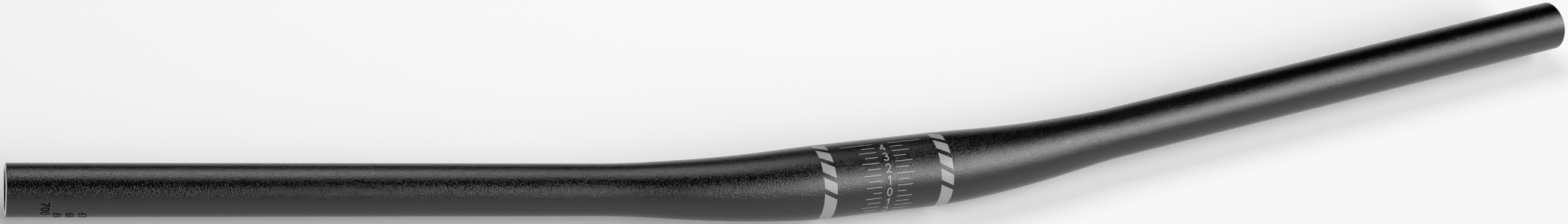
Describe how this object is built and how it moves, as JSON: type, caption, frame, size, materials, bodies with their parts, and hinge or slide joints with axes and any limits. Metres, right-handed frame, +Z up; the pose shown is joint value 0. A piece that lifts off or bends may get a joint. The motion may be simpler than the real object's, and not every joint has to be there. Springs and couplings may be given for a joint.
{
  "type": "flat handlebar",
  "caption": "Flat bicycle handlebar: a black butted aluminium tube with a thick straight stem clamp in the middle, tapered and swept back on both sides to open ends for grips.",
  "frame": {"origin": "middle of the stem clamp, on the tube's centre line", "axes": "+X along the clamp, to the right as seen from the front; +Y the way both ends sweep back; +Z up, square to the plane of the bends"},
  "size_m": [0.7332, 0.0755, 0.0318],
  "materials": {
    "black_coat": "satin",
    "bare_metal": "satin",
    "grey_print": "matte",
    "dark_print": "gloss"
  },
  "bodies": {
    "root": {"handlebar": "black_coat"}
  },
  "joints": []
}
